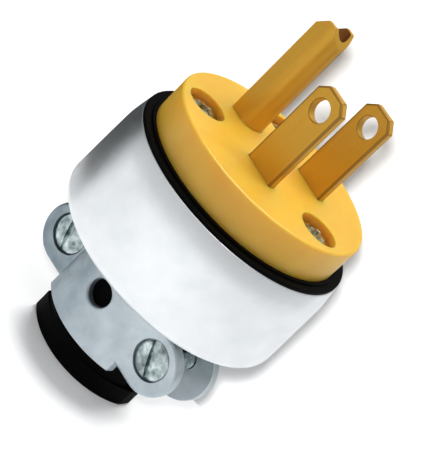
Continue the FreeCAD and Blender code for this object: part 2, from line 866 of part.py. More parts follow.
def cut_bushing_way(body, low, tall):
    way = new_sketch(body, "bushing_way", "XY", low)
    draw_oval(way, SADDLE_INNER, CREST_INNER, size("bushing_corner"))
    pocket(body, way, tall)


def drill_ears(body, name, start, length, radius):
    sketch = new_sketch(body, name, "YZ", start)
    for side in (-1, 1):
        draw_circle(sketch, side * size("ear_line"), -EAR_DEPTH, radius)
    pocket(body, sketch, length)


def ear_rim(x):
    """Picks the outline of the ears on the plane at x."""
    def wanted(edge, box, lift):
        if not (near(box.XMin, x.value) and near(box.XMax, x.value)):
            return False
        reach = size("ear_line").value - TOLERANCE
        whole_lug = near(box.ZMax - box.ZMin, 2 * size("ear_radius").value)
        return whole_lug and (box.YMax > reach or box.YMin < -reach)
    return wanted


def front_clamp_half():
    body = new_body("front_clamp_half")
    face = -size("ear_face")
    thick = size("front_ear_thick")
    low = -SADDLE_END
    add_half_pipe(body, -1, SADDLE_TOP)
    bevel_pipe_end(body, low)
    add_ears(body, face, thick, size("ear_radius"), size("front_ear_sag"))
    dress(body, "Fillet", size("ear_round"), ear_rim(face))
    blend_low_ear(body)
    cut_bushing_way(body, low, SADDLE_TOP - low)
    recess = size("clamp_head_radius") + size("clamp_recess_gap")
    drill_ears(body, "recesses", face - thick, thick + size("clamp_recess_deep"), recess)
    drill_ears(body, "ear_holes", face, thick, size("clamp_shank_radius") + size("clamp_hole_gap"))
    crest_hole(body)
    turn_clamp_piece(body)
    return body


def bevel_pipe_end(body, low):
    """Long shallow bevel on the outer edge of the half pipe's free end."""
    def end_edge(edge, box, lift):
        level = near(box.ZMin, low.value + lift) and near(box.ZMax, low.value + lift)
        return level and near(box.XMin, -size("saddle_crest").value)

    bevel = dress(body, "Chamfer", size("saddle_end_step"), end_edge)
    bevel.ChamferType = "Two distances"
    bevel.setExpression("Size2", size("saddle_end_band").text)
    doc.recompute()


def crest_hole(body):
    """Hole through the top of the half pipe, with a rounded mouth."""
    hole = new_sketch(body, "crest_hole", "YZ", -size("saddle_crest"))
    draw_circle(hole, ZERO, -CREST_HOLE_DEPTH, size("crest_hole_radius"))
    pocket(body, hole, 2 * size("saddle_wall"))
    outside = size("saddle_crest") - size("saddle_wall") / 2

    def mouth(edge, box, lift):
        return box.XMax < -outside.value and box.YLength < size("saddle_half").value

    dress(body, "Fillet", size("crest_hole_round"), mouth)


def rear_clamp_half():
    body = new_body("rear_clamp_half")
    base = new_sketch(body, "base", "XY", BASE_UNDER)
    draw_circle(base, ZERO, ZERO, size("base_radius"))
    pad(body, base, size("base_thick"))
    holes = new_sketch(body, "base_holes", "XY", BASE_UNDER, turn=-size("clamp_turn"))
    draw_circle(holes, ZERO, ZERO, size("neck_radius") + NECK_GAP)
    draw_screw_holes(holes, size("face_shank_radius") + size("thread_gap"))
    pocket(body, holes, size("base_thick"))
    low = -SADDLE_END
    face = size("rear_ear_face")
    trough = new_sketch(body, "trough", "XY", low)
    corner = size("bushing_corner") + size("saddle_wall")
    draw_oval(trough, size("saddle_radius"), size("saddle_crest"), corner)
    pad(body, trough, BASE_UNDER - low)
    mouth = new_sketch(body, "trough_mouth", "XY", low)
    draw_box(mouth, -size("base_radius"), face, -size("base_radius"), size("base_radius"))
    pocket(body, mouth, BASE_UNDER - low)
    add_ears(body, face, size("rear_ear_thick"), size("rear_ear_radius"), size("rear_ear_sag"))
    bosses = new_sketch(body, "bosses", "YZ", REAR_EAR_BACK)
    for side in (-1, 1):
        draw_circle(bosses, side * size("ear_line"), -EAR_DEPTH, size("rear_boss_radius"))
    pad(body, bosses, size("rear_boss_tall"))
    cut_bushing_way(body, low, BASE_UNDER - low)
    threads = CLAMP_SCREW_END - face + size("screw_relief")
    drill_ears(body, "threads", face, threads, size("clamp_shank_radius") + size("thread_gap"))
    turn_clamp_piece(body)
    return body


def clamp_screw(label, side, turn):
    """Slotted screw that draws the clamp halves together along X."""
    body = new_body(label)
    under = size("ear_face") - size("clamp_recess_deep")
    head = (size("clamp_head_radius"), size("clamp_head_tall"), size("clamp_head_dome"))
    turned_screw(body, head, size("clamp_shank_radius"), under + CLAMP_SCREW_END)
    top = size("clamp_head_tall") + size("clamp_head_dome")
    reach = size("clamp_head_radius") + size("clamp_slot_wide")
    cut_slot(body, "slot", reach, size("clamp_slot_wide"), size("clamp_slot_deep"), top)
    line = side * size("ear_line")
    sin, cos = sine(size("clamp_turn")), cosine(size("clamp_turn"))
    rotation = FreeCAD.Rotation(FreeCAD.Vector(0, 0, 1), size("clamp_turn").value)
    for axis, angle in ((FreeCAD.Vector(0, 1, 0), -90), (FreeCAD.Vector(0, 0, 1), turn.value)):
        rotation = rotation.multiply(FreeCAD.Rotation(axis, angle))
    place(body, -under * cos - line * sin, line * cos - under * sin, EAR_DEPTH, rotation)
    return body


# Black bushing that carries the cable through the clamp and the rear wall

def cable_bushing():
    body = new_body("cable_bushing")
    low = -FACE_HEIGHT
    top = LINER_FLOOR_TOP + size("neck_rise")
    sleeve = new_sketch(body, "sleeve", "XY", low)
    draw_oval(sleeve, BUSHING_ARC, BUSHING_CREST, size("bushing_corner"))
    pad(body, sleeve, NECK_STEP - low)
    trim_sleeve(body, low)
    foot = new_sketch(body, "foot", "XY", low)
    draw_lens(foot, size("foot_arc"), BUSHING_CREST, -size("foot_end"), size("bushing_far_flat"))
    pad(body, foot, size("foot_tall"))
    neck = new_sketch(body, "neck", "XY", NECK_STEP)
    draw_circle(neck, ZERO, ZERO, size("neck_radius"))
    pad(body, neck, top - NECK_STEP)
    bore = new_sketch(body, "bore", "XY", low)
    draw_circle(bore, ZERO, ZERO, size("neck_radius") - size("neck_wall"))
    pocket(body, bore, top - low)

    def foot_edge(edge, box, lift):
        return near(box.ZMin, low.value + lift) and near(box.ZMax, low.value + lift)

    dress(body, "Chamfer", size("bushing_foot_bevel"), foot_edge)
    turn_clamp_piece(body)
    return body


def trim_sleeve(body, low):
    """Cut the sleeve's ends flat, one of them clear of the clamp screws."""
    ends = new_sketch(body, "sleeve_ends", "XY", low)
    beyond = 2 * size("bushing_flat")
    draw_box(ends, -BUSHING_CREST, BUSHING_CREST, -beyond, -size("bushing_flat"))
    draw_box(ends, -BUSHING_CREST, BUSHING_CREST, size("bushing_far_flat"), beyond)
    pocket(body, ends, NECK_STEP - low)


def build_parts():
    parts = [face_body(), blade("neutral_blade", -1), blade("line_blade", 1), ground_pin()]
    parts.append(terminal_block())
    for kind in TERMINALS:
        parts.append(terminal_screw(kind))
        parts.append(wire_plate(kind))
    parts += [shell(), liner()]
    parts += [face_screw(label) for label in FACE_SCREW_PLACES]
    parts += [front_clamp_half(), rear_clamp_half()]
    parts.append(clamp_screw("clamp_screw_1", 1, size("clamp_slot_turn_a")))
    parts.append(clamp_screw("clamp_screw_2", -1, size("clamp_slot_turn_b")))
    parts.append(cable_bushing())
    return parts


def check_document():
    for item in doc.Objects:
        if "Invalid" in item.State or "Error" in item.State:
            raise RuntimeError(f"{item.Label} failed: {item.State}")


def export_parts(parts):
    os.makedirs("parts", exist_ok=True)
    for part in parts:
        shape = part.Shape
        if shape.isNull() or not shape.isValid() or len(shape.Solids) != 1:
            raise RuntimeError(f"{part.Label} isn't one sound solid")
        shape.exportStep(f"parts/{part.Label}.step")


PARTS = build_parts()
doc.recompute()
check_document()
export_parts(PARTS)
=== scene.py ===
"""Looks of an armoured three-prong plug: its finishes, fine pieces, studio and camera."""

import json
import logging
import math
from dataclasses import dataclass
from enum import Enum
from typing import Any, Callable, Optional, Sequence, Union

import bmesh
import bpy
from bpy.types import Material, Node, NodeSocket, NodeTree, Object
from mathutils import Matrix, Vector


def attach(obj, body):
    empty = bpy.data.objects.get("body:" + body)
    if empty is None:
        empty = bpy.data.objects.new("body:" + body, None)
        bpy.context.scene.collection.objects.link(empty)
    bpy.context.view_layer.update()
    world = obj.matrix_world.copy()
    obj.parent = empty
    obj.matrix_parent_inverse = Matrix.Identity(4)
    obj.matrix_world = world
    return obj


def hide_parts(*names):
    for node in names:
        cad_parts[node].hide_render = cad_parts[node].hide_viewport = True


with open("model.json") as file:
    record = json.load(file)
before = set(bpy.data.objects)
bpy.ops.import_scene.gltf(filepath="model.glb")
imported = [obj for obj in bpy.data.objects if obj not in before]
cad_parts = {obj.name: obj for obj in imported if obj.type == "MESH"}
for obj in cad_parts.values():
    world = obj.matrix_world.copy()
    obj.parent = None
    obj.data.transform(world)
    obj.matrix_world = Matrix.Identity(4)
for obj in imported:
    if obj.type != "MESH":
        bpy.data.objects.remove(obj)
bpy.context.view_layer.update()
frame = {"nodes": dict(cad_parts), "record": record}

LOG = logging.getLogger("plug")
MM = 0.001
BODY = "root"
BROKEN_EDGE = "worn_edge"
SLOT_OF = {part["node"]: part["material_slot"] for part in frame["record"]["subparts"]}
# The way the photographer looks
VIEW = (0.784, 0.475, -0.401)
# Edges and faces are told by their height and radius, within these
HEIGHT_SLACK_MM = 0.01
RADIUS_SLACK_MM = 0.03
# A turned piece joins corners closer than this
TURNED_JOIN_MM = 0.001
# A copied mesh joins corners closer than this, and faces that meet flatter than this
COPY_JOIN_MM = 0.0005
COPY_FLAT_DEG = 0.5

Pair = tuple[float, float]
Triple = tuple[float, float, float]
Source = Union[Node, NodeSocket]


class Slot(Enum):
    """Material slots of the record, one for each finish on the plug."""

    YELLOW_NYLON = "yellow_nylon"
    BRASS_STRIP = "brass_strip"
    BLOCK = "block_phenolic"
    SILVER_SCREW = "silver_screw"
    BRASS_SCREW = "brass_screw"
    GREEN_SCREW = "green_screw"
    PLATE_STEEL = "plate_steel"
    SHELL = "shell_steel"
    LINER = "liner_vinyl"
    CLAMP = "clamp_zinc"
    CLAMP_SCREW = "clamp_screw_zinc"
    FACE_SCREW = "face_screw_zinc"
    BUSHING = "bushing_rubber"


def linear_colour(hex_code: str) -> tuple[float, float, float, float]:
    """Turn an sRGB hex colour into the linear colour that shaders read.

    Args:
        hex_code: Six hex digits, with or without a leading hash.

    Returns:
        Red, green, blue and an alpha of 1.
    """
    digits = hex_code.lstrip("#")
    channels = [int(digits[i:i + 2], 16) / 255 for i in (0, 2, 4)]
    linear = [c / 12.92 if c <= 0.04045 else ((c + 0.055) / 1.055) ** 2.4 for c in channels]
    return (linear[0], linear[1], linear[2], 1.0)


def add_node(tree: NodeTree, kind: str, settings: Optional[dict[Any, Any]] = None,
             links: Optional[dict[Any, Source]] = None) -> Node:
    """Add a node, set its properties and plain inputs, and join its inputs to outputs.

    Args:
        tree: The material's or world's node tree.
        kind: The node's type name.
        settings: Values by property name, input name or input number. The name stops stands for
            the places and sRGB hex colours of a colour ramp.
        links: What feeds each input, as a socket, or as a node for its first output.

    Returns:
        The new node.
    """
    node = tree.nodes.new(kind)
    for key, value in (settings or {}).items():
        if key == "stops":
            elements = node.color_ramp.elements
            while len(elements) < len(value):
                elements.new(0.5)
            for element, (place, colour) in zip(elements, value):
                element.position = place
                element.color = linear_colour(colour)
        elif isinstance(key, str) and hasattr(node, key):
            setattr(node, key, value)
        else:
            node.inputs[key].default_value = value
    for key, source in (links or {}).items():
        socket = source.outputs[0] if isinstance(source, Node) else source
        tree.links.new(socket, node.inputs[key])
    return node


def blank_material(name: str) -> tuple[Material, NodeTree]:
    """Make a node material with nothing in it.

    Args:
        name: The material's name.

    Returns:
        The material and its empty node tree.
    """
    material = bpy.data.materials.new(name)
    material.use_nodes = True
    material.node_tree.nodes.clear()
    return material, material.node_tree


def span(low: float, high: float, start: float = 0.3, end: float = 0.7) -> dict[str, float]:
    """Settings that spread a value between start and end, where noise mostly lies, over low to high."""
    return {"From Min": start, "From Max": end, "To Min": low, "To Max": high}


def relief(depth_mm: float) -> dict[str, float]:
    """Settings of a bump whose height is a real depth."""
    return {"Strength": 1.0, "Distance": depth_mm * MM}


def mottling(tree: NodeTree, size_mm: float, detail: float = 2.0,
             stretch: Triple = (1.0, 1.0, 1.0), roughness: float = 0.5) -> Node:
    """Mottling on the piece's own coordinates, with spots of a real size.

    Args:
        tree: The material's node tree.
        size_mm: Size of a spot in millimetres.
        detail: Octaves of finer spots.
        stretch: How much longer the spots are along X, Y and Z.
        roughness: Strength of the finer octaves.

    Returns:
        The node, whose first output is the tone.
    """
    place = add_node(tree, "ShaderNodeTexCoord")
    shrink = tuple(1.0 / s for s in stretch)
    mapping = add_node(tree, "ShaderNodeMapping", {"Scale": shrink}, {"Vector": place.outputs["Object"]})
    spots = {"Scale": 1.0 / (size_mm * MM), "Detail": detail, "Roughness": roughness}
    return add_node(tree, "ShaderNodeTexNoise", spots, {"Vector": mapping})


def tint_broken_edges(tree: NodeTree, colour: Source, edge: str, share: float) -> NodeSocket:
    """Blend another colour over the broken edges that mark_edges wrote on a piece.

    Args:
        tree: The material's node tree.
        colour: Colour of the faces.
        edge: sRGB hex colour of the edges.
        share: How much of it shows there.

    Returns:
        The colour output.
    """
    mark = add_node(tree, "ShaderNodeAttribute", {"attribute_name": BROKEN_EDGE})
    weight = add_node(tree, "ShaderNodeMapRange", span(0.0, share, 0.0, 1.0), {"Value": mark.outputs["Fac"]})
    mix = {"data_type": "RGBA", 7: linear_colour(edge)}
    return add_node(tree, "ShaderNodeMix", mix, {0: weight, 6: colour}).outputs[2]


def finish_shader(tree: NodeTree, settings: dict[str, Any], links: dict[str, Source]) -> None:
    """End a material in one principled shader.

    Args:
        tree: The material's node tree.
        settings: Plain inputs of the shader.
        links: What feeds its other inputs.
    """
    shader = add_node(tree, "ShaderNodeBsdfPrincipled", settings, links)
    add_node(tree, "ShaderNodeOutputMaterial", links={"Surface": shader})


@dataclass(frozen=True)
class MouldedPlastic:
    """Injection-moulded plastic: an even colour, a faint cloud and a fine spark-eroded grain."""

    name: str
    light: str
    deep: str
    roughness: float
    cloud_mm: float = 6.0
    # The mould's real grain is finer, and it is drawn as coarse as it needs to show
    grain_mm: float = 0.35
    grain_depth_mm: float = 0.004
    scatter_mm: float = 0.0
    scatter_share: float = 0.9
    scatter_reach: Triple = (1.0, 0.55, 0.12)
    sheen: float = 0.5
    unevenness: float = 0.08

    def material(self) -> Material:
        """Build the material.

        Returns:
            The finished material.
        """
        material, tree = blank_material(self.name)
        cloud = mottling(tree, self.cloud_mm, detail=3.0)
        grain = mottling(tree, self.grain_mm, detail=1.0)
        dull, bright = (self.roughness * (1 + side * self.unevenness) for side in (1, -1))
        stops = [(0.3, self.deep), (0.7, self.light)]
        settings: dict[str, Any] = {"IOR": 1.5, "Specular IOR Level": self.sheen}
        if self.scatter_mm:
            settings["Subsurface Weight"] = self.scatter_share
            settings["Subsurface Radius"] = self.scatter_reach
            settings["Subsurface Scale"] = self.scatter_mm * MM
        finish_shader(tree, settings, {
            "Base Color": add_node(tree, "ShaderNodeValToRGB", {"stops": stops}, {"Fac": cloud}),
            "Roughness": add_node(tree, "ShaderNodeMapRange", span(bright, dull), {"Value": cloud}),
            "Normal": add_node(tree, "ShaderNodeBump", relief(self.grain_depth_mm), {"Height": grain}),
        })
        return material


@dataclass(frozen=True)
class RolledBrass:
    """Brass strip: rolling draws fine streaks along the prong, and the inside of the pin's fold is painted
    dark as shade.
    """

    name: str
    light: str
    deep: str
    roughness: float = 0.42
    unevenness: float = 0.2
    # Part of the light comes off a thin matt tarnish and not off the bare metal
    metallic: float = 0.46
    # Rolling lines are finer, and they are drawn as coarse as they need to show
    streak_mm: float = 0.16
    streak_length: float = 60.0
    streak_depth_mm: float = 0.0035
    streak_tones: Pair = (0.15, 0.45)
    patch_mm: float = 3.5
    patch_length: float = 3.0
    patch_tones: Pair = (0.15, 0.55)
    # Painted shade: the colour of the inside of the pin's fold
    inside: str = "#8C5208"
    # The painted shade inside the fold lies within this radius of the fold's axis, which stands at this place
    # on Y
    painted_shade_radius_mm: float = 1.97
    painted_shade_centre_mm: float = 8.6
    edge: str = "#7E5518"
    edge_share: float = 0.75

    def outside(self, tree: NodeTree) -> Node:
        """Tell the inside of the ground pin's fold, where the shade is painted, from all other faces.

        Args:
            tree: The material's node tree.

        Returns:
            The node, 0 on the inside and 1 elsewhere.
        """
        place = add_node(tree, "ShaderNodeTexCoord")
        axes = add_node(tree, "ShaderNodeSeparateXYZ", links={"Vector": place.outputs["Object"]})
        centre, radius = self.painted_shade_centre_mm * MM, self.painted_shade_radius_mm * MM
        depth = add_node(tree, "ShaderNodeMath", {"operation": "SUBTRACT", 1: centre}, {0: axes.outputs["Y"]})
        under = add_node(tree, "ShaderNodeMath", {"operation": "MINIMUM", 1: 0.0}, {0: depth})
        reach = add_node(tree, "ShaderNodeCombineXYZ", links={"X": axes.outputs["X"], "Y": under})
        length = add_node(tree, "ShaderNodeVectorMath", {"operation": "LENGTH"}, {0: reach}).outputs["Value"]
        return add_node(tree, "ShaderNodeMath", {"operation": "GREATER_THAN", 1: radius}, {0: length})

    def material(self) -> Material:
        """Build the material.

        Returns:
            The finished material.
        """
        material, tree = blank_material(self.name)
        streaks = mottling(tree, self.streak_mm, stretch=(1.0, 1.0, self.streak_length))
        patches = mottling(tree, self.patch_mm, detail=3.0, stretch=(1.0, 1.0, self.patch_length))
        fine = add_node(tree, "ShaderNodeMapRange", span(*self.streak_tones), {"Value": streaks})
        broad = add_node(tree, "ShaderNodeMapRange", span(*self.patch_tones), {"Value": patches})
        mixed = add_node(tree, "ShaderNodeMath", {"operation": "ADD"}, {0: fine, 1: broad})
        # Painted shade: inside the fold the tone drops to the inside colour
        tone = add_node(tree, "ShaderNodeMath", {"operation": "MULTIPLY"}, {0: mixed, 1: self.outside(tree)})
        stops = [(0.0, self.inside), (0.1, self.inside), (0.3, self.deep), (1.0, self.light)]
        colour = add_node(tree, "ShaderNodeValToRGB", {"stops": stops}, {"Fac": tone})
        dull, bright = (self.roughness * (1 + side * self.unevenness) for side in (1, -1))
        finish_shader(tree, {"Metallic": self.metallic}, {
            "Base Color": tint_broken_edges(tree, colour, self.edge, self.edge_share),
            "Roughness": add_node(tree, "ShaderNodeMapRange", span(bright, dull), {"Value": patches}),
            "Normal": add_node(tree, "ShaderNodeBump", relief(self.streak_depth_mm), {"Height": streaks}),
        })
        return material


@dataclass(frozen=True)
class PlatedMetal:
    """Plated steel: a bright thin coat over drawn or turned metal, slightly clouded."""

    name: str
    light: str
    deep: str
    roughness: float
    unevenness: float = 0.15
    cloud_mm: float = 5.0
    # The coat's real grain is finer, and it is drawn as coarse as it needs to show
    grain_mm: float = 0.25
    grain_depth_mm: float = 0.002

    def material(self) -> Material:
        """Build the material.

        Returns:
            The finished material.
        """
        material, tree = blank_material(self.name)
        cloud = mottling(tree, self.cloud_mm, detail=4.0, roughness=0.6)
        grain = mottling(tree, self.grain_mm)
        dull, bright = (self.roughness * (1 + side * self.unevenness) for side in (1, -1))
        stops = [(0.32, self.deep), (0.68, self.light)]
        finish_shader(tree, {"Metallic": 1.0}, {
            "Base Color": add_node(tree, "ShaderNodeValToRGB", {"stops": stops}, {"Fac": cloud}),
            "Roughness": add_node(tree, "ShaderNodeMapRange", span(dull, bright), {"Value": cloud}),
            "Normal": add_node(tree, "ShaderNodeBump", relief(self.grain_depth_mm), {"Height": grain}),
        })
        return material


@dataclass(frozen=True)
class CastZinc:
    """Die-cast zinc, tumbled: a blue-grey skin with flow clouds, and painted shade that darkens it toward one
    ear.
    """

    name: str
    light: str
    deep: str
    # Lighter colour of the broken edges: partly rubbed wear, partly painted highlight
    edge: str
    edge_share: float = 0.6
    # Part of the light comes off the matt skin of oxide and not off the bare metal
    metallic: float = 0.75
    roughness: float = 0.42
    dull: float = 1.2
    bright: float = 0.85
    cloud_mm: float = 4.5
    cloud_tone: float = 0.35
    grain_mm: float = 0.28
    grain_depth_mm: float = 0.006
    # Only the darkest spots of the mottling are pits, from the first tone up to the second
    pit_mm: float = 0.9
    pit_depth_mm: float = 0.012
    pit_tones: Pair = (0.2, 0.42)
    # Painted light and shade: the skin is lightest at the first place on Y and darkest at the second
    painted_light_y_mm: float = -6.0
    painted_light_tone: float = 0.65
    painted_shade_y_mm: float = 9.0

    def material(self) -> Material:
        """Build the material.

        Returns:
            The finished material.
        """
        material, tree = blank_material(self.name)
        cloud = mottling(tree, self.cloud_mm, detail=5.0, roughness=0.62)
        grain = mottling(tree, self.grain_mm, detail=3.0)
        pits = mottling(tree, self.pit_mm)
        deepest = add_node(tree, "ShaderNodeMapRange", span(0.0, 1.0, *self.pit_tones), {"Value": pits})
        coarse = add_node(tree, "ShaderNodeBump", relief(self.pit_depth_mm), {"Height": deepest})
        place = add_node(tree, "ShaderNodeTexCoord")
        axes = add_node(tree, "ShaderNodeSeparateXYZ", links={"Vector": place.outputs["Object"]})
        # Painted shade: a ramp along Y lightens one ear and darkens the other
        painted_shade_span = span(self.painted_light_tone, 0.0, self.painted_light_y_mm * MM, self.painted_shade_y_mm * MM)
        along = add_node(tree, "ShaderNodeMapRange", painted_shade_span, {"Value": axes.outputs["Y"]})
        flow = add_node(tree, "ShaderNodeMapRange", span(0.0, self.cloud_tone), {"Value": cloud})
        tone = add_node(tree, "ShaderNodeMath", {"operation": "ADD"}, {0: along, 1: flow})
        stops = [(0.0, self.deep), (1.0, self.light)]
        colour = add_node(tree, "ShaderNodeValToRGB", {"stops": stops}, {"Fac": tone})
        sheen = span(self.roughness * self.dull, self.roughness * self.bright)
        finish_shader(tree, {"Metallic": self.metallic}, {
            "Base Color": tint_broken_edges(tree, colour, self.edge, self.edge_share),
            "Roughness": add_node(tree, "ShaderNodeMapRange", sheen, {"Value": cloud}),
            "Normal": add_node(
                tree, "ShaderNodeBump", relief(self.grain_depth_mm), {"Height": grain, "Normal": coarse}),
        })
        return material


FINISHES = {
    # Nylon moulded in a grained tool: a soft gloss, and light that sinks in and rounds off the edges
    Slot.YELLOW_NYLON: MouldedPlastic("moulded_yellow_nylon", "#F5C544", "#EFBB3C", 0.42, scatter_mm=2.0),
    # Brass strip, rolled and stamped: a silky gold with streaks along the prong, darker broken edges, and
    # painted shade inside the pin's fold
    Slot.BRASS_STRIP: RolledBrass("rolled_brass_strip", "#D8A636", "#CA982A"),
    # Phenolic resin moulded hot: a matt brown-black
    Slot.BLOCK: MouldedPlastic("moulded_phenolic", "#2B2826", "#1E1C1B", 0.6),
    # Steel screw plated with zinc: an even silver with soft highlights
    Slot.SILVER_SCREW: PlatedMetal("zinc_plated_screw", "#C9CCCB", "#9DA19F", 0.3),
    # Steel screw plated with brass: a warm gold with soft highlights
    Slot.BRASS_SCREW: PlatedMetal("brass_plated_screw", "#D2AE5C", "#A58138", 0.3),
    # Steel screw plated and dyed green: a metallic green that marks the ground
    Slot.GREEN_SCREW: PlatedMetal("green_plated_screw", "#3F8A4C", "#235F31", 0.35),
    # Steel strip plated with zinc: a silver that is duller than the screws
    Slot.PLATE_STEEL: PlatedMetal("zinc_plated_strip", "#C2C4C3", "#A0A3A2", 0.35),
    # Steel drawn to a cup and plated satin: bright metal that blurs what it reflects
    Slot.SHELL: PlatedMetal("drawn_satin_nickel_steel", "#EFF2F4", "#E6EBEE", 0.36),
    # Vinyl moulded in a fine tool: a deep black that hardly shines
    Slot.LINER: MouldedPlastic("moulded_black_vinyl", "#030303", "#010101", 0.6, sheen=0.05),
    # Zinc die-cast and tumbled: a blue-grey skin with flow clouds, painted shade toward one ear and painted
    # light toward the other, and lighter edges that are partly rubbed wear, partly painted highlight
    Slot.CLAMP: CastZinc("die_cast_zinc_tumbled", "#C9D4DA", "#7A8992", "#E6ECEF"),
    # Screw cold-headed and plated with zinc: a mirror finish whose light and dark patches are painted
    # reflections
    Slot.CLAMP_SCREW: PlatedMetal("zinc_plated_pan_screw", "#D6E2E2", "#51656A", 0.2, cloud_mm=1.7,
                                  grain_mm=0.3, grain_depth_mm=0.012),
    # Screw plated with yellow zinc, deep in its recess: its straw-coloured patches are painted glints and its
    # dark patches painted shade
    Slot.FACE_SCREW: PlatedMetal("yellow_zinc_screw", "#F2E8BC", "#33290F", 0.2, cloud_mm=0.8),
    # Rubber moulded soft: a dead black with no shine
    Slot.BUSHING: MouldedPlastic("moulded_black_rubber", "#020202", "#010101", 0.7, sheen=0.05),
}


def deselect() -> None:
    bpy.ops.object.select_all(action="DESELECT")


def pick(piece: Object) -> None:
    """Make a piece the active one and the only one selected.

    Args:
        piece: The piece.
    """
    deselect()
    piece.select_set(True)
    bpy.context.view_layer.objects.active = piece


def dress_nodes(materials: dict[str, Material]) -> None:
    """Give each node of the frame the material of its slot.

    Args:
        materials: The material of each slot name.
    """
    for name, node in frame["nodes"].items():
        node.data.materials.clear()
        node.data.materials.append(materials[SLOT_OF[name]])
        LOG.info("dressed %s in %s", name, SLOT_OF[name])


def select_where(piece: Object, kind: str, wanted: Callable[[Vector], bool]) -> None:
    """Select the edges or faces of the piece in edit mode whose middle is wanted.

    Args:
        piece: The piece, in edit mode.
        kind: "edges" or "faces".
        wanted: Test of a middle point in millimetres.
    """
    shape = bmesh.from_edit_mesh(piece.data)
    shape.select_mode = {"EDGE"} if kind == "edges" else {"FACE"}
    for element in list(shape.verts) + list(shape.edges) + list(shape.faces):
        element.select = False
    for element in getattr(shape, kind):
        middle = sum((vertex.co for vertex in element.verts), Vector()) / len(element.verts)
        if wanted(middle / MM):
            element.select_set(True)
    bmesh.update_edit_mesh(piece.data)


def turned(name: str, rings: Sequence[Pair], segments: int, hollow: bool = False) -> Object:
    """Turn a piece about Z: a circle is extruded and scaled from ring to ring.

    Args:
        name: The piece's name.
        rings: Radius and height of each ring in millimetres, bottom first.
        segments: Sides of the circle.
        hollow: Close the last ring on the first, for a shell that has a wall.

    Returns:
        The piece, with its axis on Z.
    """
    deselect()
    radius, height = rings[0]
    ends = "NOTHING" if hollow else "NGON"
    bpy.ops.mesh.primitive_circle_add(
        vertices=segments, radius=radius * MM, location=(0, 0, 0), fill_type=ends)
    piece = bpy.context.object
    piece.name = name
    bpy.ops.object.mode_set(mode="EDIT")
    bpy.ops.mesh.select_all(action="SELECT")
    bpy.ops.transform.translate(value=(0, 0, height * MM))
    for next_radius, next_height in list(rings[1:]) + ([rings[0]] if hollow else []):
        bpy.ops.mesh.extrude_region_move(
            TRANSFORM_OT_translate={"value": (0, 0, (next_height - height) * MM)})
        scale = next_radius / radius
        bpy.ops.transform.resize(value=(scale, scale, 1), center_override=(0, 0, next_height * MM))
        radius, height = next_radius, next_height
    bpy.ops.mesh.select_all(action="SELECT")
    bpy.ops.mesh.remove_doubles(threshold=TURNED_JOIN_MM * MM)
    bpy.ops.mesh.normals_make_consistent(inside=False)
    bpy.ops.object.mode_set(mode="OBJECT")
    return piece


def round_rings(piece: Object, rings: Sequence[Triple], steps: int) -> None:
    """Round some rings of a turned piece with the bevel operator.

    Args:
        piece: The turned piece.
        rings: Radius, height and width of the round of each ring, in millimetres.
        steps: Segments of each round.
    """
    bpy.context.view_layer.objects.active = piece
    for radius, height, width in rings:
        bpy.ops.object.mode_set(mode="EDIT")
        select_where(piece, "edges", lambda at: (
            abs(at.z - height) < HEIGHT_SLACK_MM
            and abs(math.hypot(at.x, at.y) - radius) < RADIUS_SLACK_MM))
        bpy.ops.mesh.bevel(
            offset=width * MM, offset_type="OFFSET", segments=steps, profile=0.5, affect="EDGES")
        bpy.ops.object.mode_set(mode="OBJECT")


def add_block(name: str, size_mm: Triple, place_mm: Triple, foot: float = 1.0) -> Object:
    """Make a block whose lower face can be drawn in, as a driver's tip is.

    Args:
        name: The block's name.
        size_mm: Its length, width and height.
        place_mm: Its middle.
        foot: Scale of its lower face.

    Returns:
        The block.
    """
    deselect()
    bpy.ops.mesh.primitive_cube_add(size=MM, location=tuple(c * MM for c in place_mm))
    block = bpy.context.object
    block.name = name
    block.scale = size_mm
    bpy.ops.object.transform_apply(location=True, rotation=True, scale=True)
    bpy.ops.object.mode_set(mode="EDIT")
    low = place_mm[2] - size_mm[2] / 2
    select_where(block, "faces", lambda at: at.z < low + HEIGHT_SLACK_MM)
    centre = (place_mm[0] * MM, place_mm[1] * MM, low * MM)
    bpy.ops.transform.resize(value=(foot, foot, 1), center_override=centre)
    bpy.ops.object.mode_set(mode="OBJECT")
    return block


def apply_modifiers(piece: Object) -> None:
    """Apply every modifier of a piece.

    Args:
        piece: The piece.
    """
    pick(piece)
    for modifier in list(piece.modifiers):
        bpy.ops.object.modifier_apply(modifier=modifier.name)


def cut_away(piece: Object, tool: Object) -> None:
    """Cut a tool's shape out of a piece and remove the tool.

    Args:
        piece: The piece.
        tool: The tool.
    """
    modifier = piece.modifiers.new("cut", "BOOLEAN")
    modifier.operation = "DIFFERENCE"
    modifier.solver = "EXACT"
    modifier.object = tool
    apply_modifiers(piece)
    bpy.data.objects.remove(tool)


def soften(piece: Object, width_mm: float, angle_deg: float = 35.0) -> None:
    """Break the sharp edges of a piece and shade it smooth.

    The broken edges go into the spare material slot, if the piece has one.

    Args:
        piece: The piece.
        width_mm: Width of the broken edges.
        angle_deg: Edges sharper than this are broken.
    """
    if width_mm > 0:
        modifier = piece.modifiers.new("edges", "BEVEL")
        modifier.width = width_mm * MM
        modifier.segments = 2
        modifier.limit_method = "ANGLE"
        modifier.angle_limit = math.radians(angle_deg)
        modifier.use_clamp_overlap = True
        modifier.material = len(piece.data.materials) - 1
        apply_modifiers(piece)
    pick(piece)
    bpy.ops.object.shade_smooth_by_angle(angle=math.radians(angle_deg))


